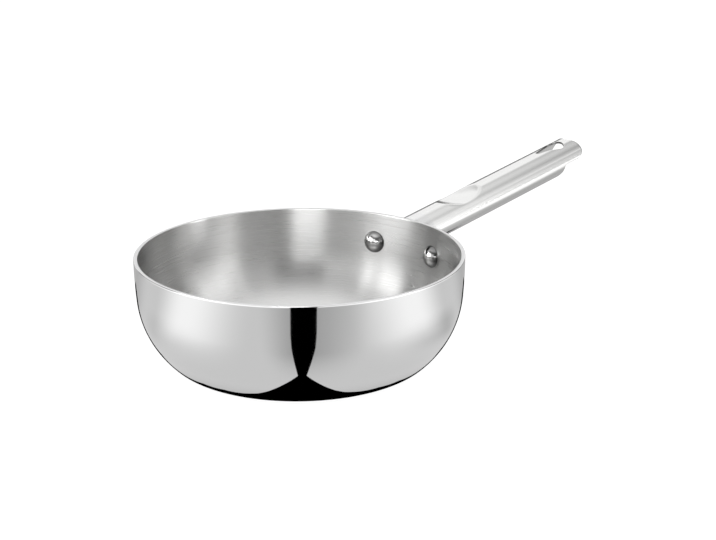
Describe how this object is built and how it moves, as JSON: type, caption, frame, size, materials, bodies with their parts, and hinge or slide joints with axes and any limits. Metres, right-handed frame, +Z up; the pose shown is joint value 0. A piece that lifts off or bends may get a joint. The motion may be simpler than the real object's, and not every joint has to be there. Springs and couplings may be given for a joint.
{
  "type": "saucier pan",
  "caption": "Round-bellied clad saucier with a flat base, a polished outside, a satin inside and a riveted tubular handle with a thumb dish and a hanging eye.",
  "frame": {"origin": "centre of the flat base, on the surface that it stands on", "axes": "+Z up; +X towards the end of the handle"},
  "size_m": [0.3766, 0.205, 0.0924],
  "materials": {
    "satin_steel": "satin, brushed round the axis",
    "core_aluminium": "ground edge",
    "mirror_steel": "mirror polished",
    "bracket_steel": "polished",
    "handle_steel": "fine satin polish along the tube",
    "rivet_steel": "polished"
  },
  "bodies": {
    "root": {"inner_ply": "satin_steel", "core_ply": "core_aluminium", "outer_ply": "mirror_steel", "handle_bracket": "bracket_steel", "handle_tube": "handle_steel", "rivet_left": "rivet_steel", "rivet_right": "rivet_steel"}
  },
  "joints": []
}
